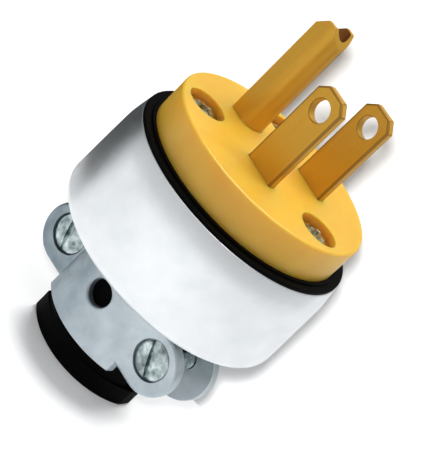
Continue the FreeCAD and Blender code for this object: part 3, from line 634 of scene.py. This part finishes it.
def seat(piece: Object, place: Matrix, node: str, material: Material) -> None:
    """Move a piece into the plug, in place of a node, and dress it.

    Args:
        piece: The piece, modelled about the origin.
        place: Where it goes, in metres.
        node: The node that it stands for.
        material: Its finish.
    """
    pick(piece)
    piece.matrix_world = place
    bpy.ops.object.transform_apply(location=True, rotation=True, scale=True)
    piece.data.materials.clear()
    piece.data.materials.append(material)
    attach(piece, BODY)
    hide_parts(node)
    LOG.info("made %s for %s: %d faces", piece.name, node, len(piece.data.polygons))


def copy_of(piece: Object, name: str) -> Object:
    """Copy a piece with its own mesh.

    Args:
        piece: The piece.
        name: The copy's name.

    Returns:
        The copy.
    """
    twin = piece.copy()
    twin.data = piece.data.copy()
    twin.name = name
    bpy.context.scene.collection.objects.link(twin)
    return twin


@dataclass(frozen=True)
class EdgedNode:
    """A node's own shape with its sharp edges broken, for metal that was stamped, bent or cast."""

    node: str
    name: str
    edge_mm: float
    # Faces narrower than this are edges that the solid itself has broken
    strip_mm: float = 0.0

    def mark_edges(self, piece: Object) -> None:
        """Write on each face whether it is part of a broken edge, which soften left in the spare slot.

        Args:
            piece: The piece, with its edges already broken.
        """
        mesh = piece.data
        broken = []
        for face in mesh.polygons:
            corners = [mesh.vertices[i].co for i in face.vertices]
            around = sum((here - there).length for here, there in zip(corners, corners[1:] + corners[:1]))
            narrow = 2 * face.area < around * self.strip_mm * MM
            broken.append(float(face.material_index == 1 or narrow))
        for face in mesh.polygons:
            face.material_index = 0
        mesh.attributes.new(BROKEN_EDGE, "FLOAT", "FACE").data.foreach_set("value", broken)

    def build(self, material: Material) -> None:
        """Copy the node's mesh, join its triangles into faces, break its edges and seat it.

        Args:
            material: Its finish.
        """
        piece = bpy.data.objects.new(self.name, frame["nodes"][self.node].data.copy())
        bpy.context.scene.collection.objects.link(piece)
        pick(piece)
        bpy.ops.object.mode_set(mode="EDIT")
        bpy.ops.mesh.select_all(action="SELECT")
        bpy.ops.mesh.remove_doubles(threshold=COPY_JOIN_MM * MM)
        bpy.ops.mesh.dissolve_limited(angle_limit=math.radians(COPY_FLAT_DEG))
        bpy.ops.object.mode_set(mode="OBJECT")
        piece.data.materials.append(None)
        soften(piece, self.edge_mm)
        modifier = piece.modifiers.new("flat_faces", "WEIGHTED_NORMAL")
        modifier.keep_sharp = True
        apply_modifiers(piece)
        self.mark_edges(piece)
        seat(piece, Matrix.Identity(4), self.node, material)


@dataclass
class Prongs:
    """Stamped blades and a folded ground pin, tumbled so that their edges catch a line of light."""

    material: Material
    edge_mm: float = 0.12
    blade_strip_mm: float = 0.12

    def build(self) -> None:
        """Break the edges of each prong."""
        EdgedNode("ground_pin", "ground_pin_folded", self.edge_mm).build(self.material)
        for node in ("neutral_blade", "line_blade"):
            EdgedNode(node, f"{node}_stamped", self.edge_mm, self.blade_strip_mm).build(self.material)


@dataclass
class ClampHalves:
    """Two die-cast halves whose edges the mould and the tumbling leave round."""

    material: Material
    edge_mm: float = 0.16

    def build(self) -> None:
        """Round the edges of each half."""
        for side in ("front", "rear"):
            EdgedNode(f"{side}_clamp_half", f"{side}_half_cast", self.edge_mm).build(self.material)


@dataclass
class ClampScrews:
    """Two slotted screws with rolled threads that draw the clamp halves together."""

    material: Material
    turn_deg: float = 8.0
    ear_line_mm: float = 12.3
    under_head_mm: float = 6.1
    height_mm: float = 12.9
    head_radius_mm: float = 3.1
    head_tall_mm: float = 0.9
    head_foot_bevel_mm: float = 0.08
    head_dome_mm: float = 0.45
    dome_shares: tuple[float, ...] = (0.94, 0.85, 0.72, 0.55, 0.36, 0.15)
    shank_radius_mm: float = 1.7
    shank_long_mm: float = 12.9
    point_bevel_mm: Pair = (0.15, 0.2)
    plain_mm: float = 2.0
    plain_inset_mm: float = 0.05
    run_out_mm: float = 0.2
    pitch_mm: float = 0.8
    thread_deep_mm: float = 0.28
    crest_half_mm: float = 0.06
    slot_wide_mm: float = 1.3
    slot_deep_mm: float = 0.62
    slot_turns_deg: Pair = (20.0, 30.0)
    edge_mm: float = 0.09
    edge_deg: float = 40.0
    sides: int = 64

    def profile(self) -> list[Pair]:
        """Rings of the screw, from its end up to the top of its dome.

        Returns:
            Radius and height of each ring, with the underside of the head at 0.
        """
        crest = self.shank_radius_mm
        root = crest - self.thread_deep_mm
        inset, rise = self.point_bevel_mm
        rings = [(root - inset, -self.shank_long_mm), (root, -self.shank_long_mm + rise)]
        height = -self.shank_long_mm + rise + self.pitch_mm / 2
        while height < -self.plain_mm - self.pitch_mm / 2:
            rings += [(crest, height - self.crest_half_mm), (crest, height + self.crest_half_mm)]
            rings.append((root, height + self.pitch_mm / 2))
            height += self.pitch_mm
        plain = crest - self.plain_inset_mm
        rings += [(root, -self.plain_mm), (plain, -self.plain_mm + self.run_out_mm), (plain, 0.0)]
        radius, bevel = self.head_radius_mm, self.head_foot_bevel_mm
        rings += [(radius - bevel, 0.0), (radius, bevel), (radius, self.head_tall_mm)]
        for share in self.dome_shares:
            rings.append((radius * share, self.head_tall_mm + self.head_dome_mm * (1 - share * share)))
        return rings

    def build(self) -> None:
        """Turn each screw, cut its slot, and seat it in its ear."""
        turn = Matrix.Rotation(math.radians(self.turn_deg), 4, "Z")
        lay = Matrix.Rotation(math.radians(-90), 4, "Y")
        top = self.head_tall_mm + self.head_dome_mm
        slot_size = (3 * self.head_radius_mm, self.slot_wide_mm, 2 * self.slot_deep_mm)
        for number, side, slot_turn in zip((1, 2), (1, -1), self.slot_turns_deg):
            screw = turned(f"clamp_screw_turned_{number}", self.profile(), segments=self.sides)
            cut_away(screw, add_block("slot", slot_size, (0, 0, top)))
            soften(screw, self.edge_mm, self.edge_deg)
            seat_mm = Vector((-self.under_head_mm, side * self.ear_line_mm, self.height_mm))
            place = Matrix.Translation(seat_mm * MM)
            spin = Matrix.Rotation(math.radians(slot_turn), 4, "Z")
            seat(screw, turn @ place @ lay @ spin, f"clamp_screw_{number}", self.material)


@dataclass(frozen=True)
class ScrewCircle:
    """The circle on which the three long screws stand, and their ways through the rear walls."""

    radius_mm: float = 13.4
    angles_deg: Triple = (138.0, 42.0, 270.0)
    hole_mm: float = 1.9
    drill_under_mm: float = 1.0
    drill_over_mm: float = 2.0
    drill_sides: int = 32

    def places(self) -> list[Vector]:
        """Middle of each screw, in metres, at the height 0.

        Returns:
            The three middles.
        """
        turns = [math.radians(angle) for angle in self.angles_deg]
        return [Vector((math.cos(turn), math.sin(turn), 0.0)) * self.radius_mm * MM for turn in turns]

    def drill(self, piece: Object, wall_mm: float) -> None:
        """Drill the three holes through a wall of a piece.

        Args:
            piece: The piece.
            wall_mm: Height of the wall's underside.
        """
        ends = [(self.hole_mm, wall_mm - self.drill_under_mm), (self.hole_mm, wall_mm + self.drill_over_mm)]
        for place in self.places():
            drill = turned("drill", ends, segments=self.drill_sides)
            drill.location = place
            bpy.context.view_layer.update()
            cut_away(piece, drill)


@dataclass
class FaceScrews:
    """Three cross-recessed screws sunk in the face."""

    material: Material
    circle: ScrewCircle = ScrewCircle()
    under_head_mm: float = 41.7
    head_radius_mm: float = 2.95
    head_tall_mm: float = 2.7
    head_foot_bevel_mm: Pair = (0.1, 0.15)
    head_shoulder_mm: float = 0.2
    head_dome_mm: float = 0.6
    dome_shares: tuple[float, ...] = (0.985, 0.95, 0.87, 0.75, 0.6, 0.4, 0.18)
    shank_radius_mm: float = 1.75
    shank_long_mm: float = 21.4
    point_bevel_mm: Pair = (0.3, 0.4)
    recess_wide_mm: float = 0.85
    recess_long_mm: float = 4.0
    recess_deep_mm: float = 1.5
    recess_over_mm: float = 0.4
    recess_foot: float = 0.5
    turns_deg: Triple = (12.0, 38.0, 25.0)
    edge_mm: float = 0.04
    edge_deg: float = 40.0
    sides: int = 64

    def profile(self) -> list[Pair]:
        """Rings of the screw, from its end up to the top of its dome.

        Returns:
            Radius and height of each ring, with the underside of the head at 0.
        """
        radius, shank = self.head_radius_mm, self.shank_radius_mm
        edge = self.head_tall_mm - self.head_dome_mm
        point_inset, point_rise = self.point_bevel_mm
        foot_inset, foot_rise = self.head_foot_bevel_mm
        rings = [(shank - point_inset, -self.shank_long_mm), (shank, -self.shank_long_mm + point_rise)]
        rings += [(shank, 0.0), (radius - foot_inset, 0.0), (radius, foot_rise)]
        rings.append((radius, edge - self.head_shoulder_mm))
        for share in self.dome_shares:
            rings.append((radius * share, edge + self.head_dome_mm * (1 - share * share)))
        return rings

    def build(self) -> None:
        """Turn one screw, sink its cross, and seat a copy in each recess."""
        screw = turned("face_screw_turned", self.profile(), segments=self.sides)
        middle = self.head_tall_mm - self.recess_deep_mm / 2 + self.recess_over_mm / 2
        long, wide, tall = self.recess_long_mm, self.recess_wide_mm, self.recess_deep_mm + self.recess_over_mm
        for size in ((long, wide, tall), (wide, long, tall)):
            cut_away(screw, add_block("cross", size, (0, 0, middle), foot=self.recess_foot))
        soften(screw, self.edge_mm, self.edge_deg)
        head = Vector((0.0, 0.0, self.under_head_mm)) * MM
        for number, (place, turn) in enumerate(zip(self.circle.places(), self.turns_deg), start=1):
            twin = copy_of(screw, f"face_screw_turned_{number}")
            spin = Matrix.Rotation(math.radians(turn), 4, "Z")
            seat(twin, Matrix.Translation(place + head) @ spin, f"face_screw_{number}", self.material)
        bpy.data.objects.remove(screw)


@dataclass
class Shell:
    """Drawn steel shell: flared wall, rolled shoulder, dished rear wall and a bright turned rim."""

    material: Material
    circle: ScrewCircle = ScrewCircle()
    rear_z_mm: float = 21.0
    crown_z_mm: float = 34.6
    rim_z_mm: float = 38.1
    dish_z_mm: float = 22.7
    rear_radius_mm: float = 20.95
    crown_radius_mm: float = 20.5
    rim_radius_mm: float = 19.9
    dish_radius_mm: float = 17.0
    dish_foot_mm: float = 17.6
    neck_radius_mm: float = 7.95
    wall_mm: float = 0.8
    shoulder_round_mm: float = 1.6
    crown_round_mm: float = 1.1
    rim_round_mm: float = 0.22
    rim_inner_round_mm: float = 0.15
    sides: int = 160
    round_steps: int = 6
    smooth_deg: float = 30.0

    def build(self) -> None:
        """Turn the shell, round its rings and drill the rear wall."""
        wall = self.wall_mm
        outside = [
            (self.neck_radius_mm, self.dish_z_mm),
            (self.dish_radius_mm, self.dish_z_mm),
            (self.dish_foot_mm, self.rear_z_mm),
            (self.rear_radius_mm, self.rear_z_mm),
            (self.crown_radius_mm, self.crown_z_mm),
            (self.rim_radius_mm, self.rim_z_mm),
        ]
        inside = [
            (self.rim_radius_mm - wall, self.rim_z_mm),
            (self.crown_radius_mm - wall, self.crown_z_mm),
            (self.rear_radius_mm - wall, self.rear_z_mm + wall),
            (self.dish_foot_mm + wall, self.rear_z_mm + wall),
            (self.dish_radius_mm + wall, self.dish_z_mm + wall),
            (self.neck_radius_mm, self.dish_z_mm + wall),
        ]
        shell = turned("shell_drawn", outside + inside, segments=self.sides, hollow=True)
        round_rings(shell, [
            (self.rear_radius_mm, self.rear_z_mm, self.shoulder_round_mm),
            (self.rear_radius_mm - wall, self.rear_z_mm + wall, self.shoulder_round_mm - wall),
            (self.crown_radius_mm, self.crown_z_mm, self.crown_round_mm),
            (self.rim_radius_mm, self.rim_z_mm, self.rim_round_mm),
            (self.rim_radius_mm - wall, self.rim_z_mm, self.rim_inner_round_mm),
        ], steps=self.round_steps)
        self.circle.drill(shell, self.dish_z_mm)
        soften(shell, 0.0, self.smooth_deg)
        seat(shell, Matrix.Identity(4), "shell", self.material)


@dataclass
class Liner:
    """Black liner: a cup whose rounded lip and bead make the ring between shell and face."""

    material: Material
    circle: ScrewCircle = ScrewCircle()
    floor_z_mm: float = 23.5
    floor_mm: float = 1.0
    rim_z_mm: float = 38.1
    outer_radius_mm: float = 19.0
    lip_radius_mm: float = 19.82
    lip_tall_mm: float = 0.6
    lip_round_mm: float = 0.18
    inner_radius_mm: float = 18.0
    bead_wide_mm: float = 0.65
    bead_tall_mm: float = 0.35
    bead_round_mm: float = 0.14
    bead_inner_round_mm: float = 0.1
    neck_radius_mm: float = 7.95
    sides: int = 160
    round_steps: int = 4
    smooth_deg: float = 30.0

    def build(self) -> None:
        """Turn the liner, round its lip and bead, and drill its floor."""
        lip = self.rim_z_mm + self.lip_tall_mm
        bead = self.inner_radius_mm + self.bead_wide_mm
        rings = [
            (self.neck_radius_mm, self.floor_z_mm),
            (self.outer_radius_mm, self.floor_z_mm),
            (self.outer_radius_mm, self.rim_z_mm),
            (self.lip_radius_mm, self.rim_z_mm),
            (self.lip_radius_mm, lip),
            (bead, lip),
            (bead, lip + self.bead_tall_mm),
            (self.inner_radius_mm, lip + self.bead_tall_mm),
            (self.inner_radius_mm, self.floor_z_mm + self.floor_mm),
            (self.neck_radius_mm, self.floor_z_mm + self.floor_mm),
        ]
        liner = turned("liner_moulded", rings, segments=self.sides, hollow=True)
        round_rings(liner, [
            (self.lip_radius_mm, lip, self.lip_round_mm),
            (bead, lip + self.bead_tall_mm, self.bead_round_mm),
            (self.inner_radius_mm, lip + self.bead_tall_mm, self.bead_inner_round_mm),
        ], steps=self.round_steps)
        self.circle.drill(liner, self.floor_z_mm)
        soften(liner, 0.0, self.smooth_deg)
        seat(liner, Matrix.Identity(4), "liner", self.material)


@dataclass(frozen=True)
class Camera:
    """Camera solved from the prongs and the round face in the photograph."""

    position_mm: Triple = (-182.2, -110.9, 123.4)
    right: Triple = (0.607, -0.446, 0.658)
    forward: Triple = VIEW
    focal_px: float = 1532.6
    frame_px: tuple[int, int] = (423, 455)
    sensor_mm: float = 36.0
    near_m: float = 0.01
    far_m: float = 10.0

    def build(self) -> None:
        """Place the camera and make it the scene's own."""
        forward = Vector(self.forward).normalized()
        right = Vector(self.right)
        right = (right - forward * right.dot(forward)).normalized()
        up = right.cross(forward)
        data = bpy.data.cameras.new("photo_camera")
        data.sensor_width = self.sensor_mm
        data.lens = self.focal_px / max(self.frame_px) * self.sensor_mm
        data.clip_start = self.near_m
        data.clip_end = self.far_m
        camera = bpy.data.objects.new("photo_camera", data)
        turn = Matrix((right, up, -forward)).transposed().to_4x4()
        camera.matrix_world = Matrix.Translation(Vector(self.position_mm) * MM) @ turn
        bpy.context.scene.collection.objects.link(camera)
        bpy.context.scene.camera = camera


@dataclass(frozen=True)
class SoftBox:
    """Rectangular lamp that faces a point on the plug."""

    name: str
    position_mm: Triple
    size_mm: Pair
    watts: float
    target_mm: Triple = (0.0, 0.0, 32.0)

    def build(self, receivers: Sequence[Object], casters: Sequence[Object] = ()) -> None:
        """Place the lamp and let it light some objects alone.

        Args:
            receivers: What it lights.
            casters: What casts its shadow. With none named, everything does.
        """
        data = bpy.data.lights.new(self.name, "AREA")
        data.shape = "RECTANGLE"
        data.size = self.size_mm[0] * MM
        data.size_y = self.size_mm[1] * MM
        data.energy = self.watts
        lamp = bpy.data.objects.new(self.name, data)
        place = Vector(self.position_mm) * MM
        aim = Vector(self.target_mm) * MM - place
        lamp.matrix_world = Matrix.Translation(place) @ aim.to_track_quat("-Z", "Y").to_matrix().to_4x4()
        bpy.context.scene.collection.objects.link(lamp)
        for role, prefix, members in (("receiver", "lit_by", receivers), ("blocker", "cast_in", casters)):
            if members:
                group = bpy.data.collections.new(f"{prefix}_{self.name}")
                for member in members:
                    group.objects.link(member)
                setattr(lamp.light_linking, f"{role}_collection", group)


@dataclass(frozen=True)
class Studio:
    """Pale floor, a paper card behind the plug, soft lamps and a white surround."""

    floor_half_mm: float = 1500.0
    paper: float = 1.0
    paper_dimmer: float = 0.99
    paper_mottling_mm: float = 1.5
    white_from_mm: float = 60.0
    white_at_mm: float = 100.0
    surround: float = 0.28
    surround_in_metal: float = 0.50
    overhead: SoftBox = SoftBox("overhead", (60.0, 20.0, 420.0), (260.0, 260.0), 1.5)
    front_left: SoftBox = SoftBox("front_left", (-380.0, 60.0, 200.0), (220.0, 220.0), 0.03)
    prong_lamp: SoftBox = SoftBox("prong_lamp", (-300.0, -120.0, 160.0), (200.0, 200.0), 0.26)
    card_lamp: SoftBox = SoftBox("card_lamp", (-184.7, -96.5, 135.5), (22.0, 22.0), 0.6)
    floor_lamp: SoftBox = SoftBox("floor_lamp", (-184.7, -96.5, 135.5), (22.0, 22.0), 0.2)
    sleeve_lamp: SoftBox = SoftBox(
        "sleeve_lamp", (158.5, 96.0, 570.6), (120.0, 120.0), 2.3, target_mm=(0.0, 0.0, 0.0))
    card_behind_mm: float = 12.0
    card_lift_mm: float = 30.0
    card_size_mm: float = 150.0
    flag_radius_mm: float = 60.0
    flag_foot_mm: float = 0.5
    flag_tall_mm: float = 60.0
    flag_from_deg: float = 0.0
    flag_to_deg: float = 122.0
    flag_steps: int = 24
    flag_light: str = "#303234"
    flag_deep: str = "#2A2C2E"
    flag_weave_mm: float = 1.0

    def paper_material(self) -> Material:
        """White paper that keeps the plug's shadow, and is plain white to the camera far from it.

        The card's back lets the camera look through it.

        Returns:
            The paper's material.
        """
        material, tree = blank_material("white_paper")
        shades = span(self.paper * self.paper_dimmer, self.paper)
        tone = add_node(tree, "ShaderNodeMapRange", shades, {"Value": mottling(tree, self.paper_mottling_mm)})
        near = add_node(tree, "ShaderNodeBsdfDiffuse", links={"Color": tone})
        far = add_node(tree, "ShaderNodeEmission", {"Strength": 1.0, "Color": (1, 1, 1, 1)})
        place = add_node(tree, "ShaderNodeTexCoord")
        radius = add_node(tree, "ShaderNodeVectorMath", {"operation": "LENGTH"}, {0: place.outputs["Object"]})
        fade = span(0.0, 1.0, self.white_from_mm * MM, self.white_at_mm * MM)
        reach = add_node(tree, "ShaderNodeMapRange", fade, {"Value": radius.outputs["Value"]})
        seen = add_node(tree, "ShaderNodeLightPath").outputs["Is Camera Ray"]
        plain = add_node(tree, "ShaderNodeMath", {"operation": "MULTIPLY"}, {0: reach, 1: seen})
        front = add_node(tree, "ShaderNodeMixShader", links={0: plain, 1: near, 2: far})
        clear = add_node(tree, "ShaderNodeBsdfTransparent")
        behind = add_node(tree, "ShaderNodeNewGeometry").outputs["Backfacing"]
        mix = add_node(tree, "ShaderNodeMixShader", links={0: behind, 1: front, 2: clear})
        add_node(tree, "ShaderNodeOutputMaterial", links={"Surface": mix})
        return material

    def flag_material(self) -> Material:
        """Dark grey cloth that only reflections see.

        Returns:
            The flag's material.
        """
        material, tree = blank_material("dark_flag_cloth")
        weave = mottling(tree, self.flag_weave_mm)
        stops = [(0.3, self.flag_deep), (0.7, self.flag_light)]
        colour = add_node(tree, "ShaderNodeValToRGB", {"stops": stops}, {"Fac": weave})
        emission = add_node(tree, "ShaderNodeEmission", {"Strength": 1.0}, {"Color": colour})
        add_node(tree, "ShaderNodeOutputMaterial", links={"Surface": emission})
        return material

    def build_paper(self) -> list[Object]:
        """Lay the floor at the plug's foot and stand the card square to the view.

        Returns:
            Floor and card.
        """
        papers = []
        for name, size_mm in (("floor", 2 * self.floor_half_mm), ("paper_card", self.card_size_mm)):
            deselect()
            bpy.ops.mesh.primitive_plane_add(size=size_mm * MM)
            paper = bpy.context.object
            paper.name = name
            papers.append(paper)
        card = papers[1]
        view = Vector(VIEW).normalized()
        place = view * (self.card_behind_mm * MM) + Vector((0.0, 0.0, self.card_lift_mm * MM))
        place -= view * (view.dot(place) - self.card_behind_mm * MM)
        card.matrix_world = Matrix.Translation(place) @ view.to_track_quat("-Z", "Y").to_matrix().to_4x4()
        card.visible_glossy = card.visible_diffuse = False
        material = self.paper_material()
        for paper in papers:
            paper.data.materials.append(material)
        return papers

    def build_flag(self) -> None:
        """Stand a curved dark flag behind the plug's left side, for reflections alone."""
        mesh = bpy.data.meshes.new("dark_flag")
        turn = self.flag_to_deg - self.flag_from_deg
        steps = range(self.flag_steps + 1)
        angles = [math.radians(self.flag_from_deg + turn * i / self.flag_steps) for i in steps]
        radius = self.flag_radius_mm * MM
        heights = (self.flag_foot_mm * MM, self.flag_tall_mm * MM)
        points = [(radius * math.cos(a), radius * math.sin(a), z) for a in angles for z in heights]
        faces = [(2 * i, 2 * i + 2, 2 * i + 3, 2 * i + 1) for i in range(self.flag_steps)]
        mesh.from_pydata(points, [], faces)
        flag = bpy.data.objects.new("dark_flag", mesh)
        bpy.context.scene.collection.objects.link(flag)
        mesh.materials.append(self.flag_material())
        flag.visible_camera = flag.visible_diffuse = flag.visible_shadow = False

    def build_surround(self) -> None:
        """White to the camera, a little softer in metal, and softer still as light."""
        world = bpy.data.worlds.new("white_surround")
        bpy.context.scene.world = world
        world.use_nodes = True
        tree = world.node_tree
        tree.nodes.clear()
        path = add_node(tree, "ShaderNodeLightPath").outputs
        most = {"operation": "MAXIMUM"}
        clear = {0: path["Is Camera Ray"], 1: path["Is Transmission Ray"]}
        seen = add_node(tree, "ShaderNodeMath", most, clear)
        levels = span(self.surround, self.surround_in_metal, 0.0, 1.0)
        level = add_node(tree, "ShaderNodeMapRange", levels, {"Value": path["Is Glossy Ray"]})
        strength = add_node(tree, "ShaderNodeMath", most, {0: seen, 1: level})
        background = add_node(tree, "ShaderNodeBackground", {"Color": (1, 1, 1, 1)}, {"Strength": strength})
        add_node(tree, "ShaderNodeOutputWorld", links={"Surface": background})

    def build(self) -> None:
        """Build papers, flag, surround and lamps."""
        plug = [piece for piece in bpy.context.scene.objects if piece.type == "MESH"]
        names = ("ground_pin", "neutral_blade", "line_blade")
        prongs = [piece for piece in plug if piece.name.startswith(names)]
        floor, card = self.build_paper()
        self.build_flag()
        self.build_surround()
        self.overhead.build(plug)
        self.front_left.build(plug)
        self.card_lamp.build([card])
        self.prong_lamp.build(prongs, [floor])
        self.floor_lamp.build([floor])
        self.sleeve_lamp.build([floor], [frame["nodes"]["cable_bushing"]])


def main() -> None:
    """Dress the frame, build the studio and report each piece."""
    logging.basicConfig(level=logging.INFO, format="%(name)s: %(message)s")
    deselect()
    materials = {slot.value: finish.material() for slot, finish in FINISHES.items()}
    dress_nodes(materials)
    for assembly in (
        Prongs(materials[Slot.BRASS_STRIP.value]),
        ClampHalves(materials[Slot.CLAMP.value]),
        ClampScrews(materials[Slot.CLAMP_SCREW.value]),
        FaceScrews(materials[Slot.FACE_SCREW.value]),
        Shell(materials[Slot.SHELL.value]),
        Liner(materials[Slot.LINER.value]),
    ):
        assembly.build()
    Studio().build()
    Camera().build()
    bpy.context.scene.view_settings.view_transform = "Standard"


if __name__ == "__main__":
    main()
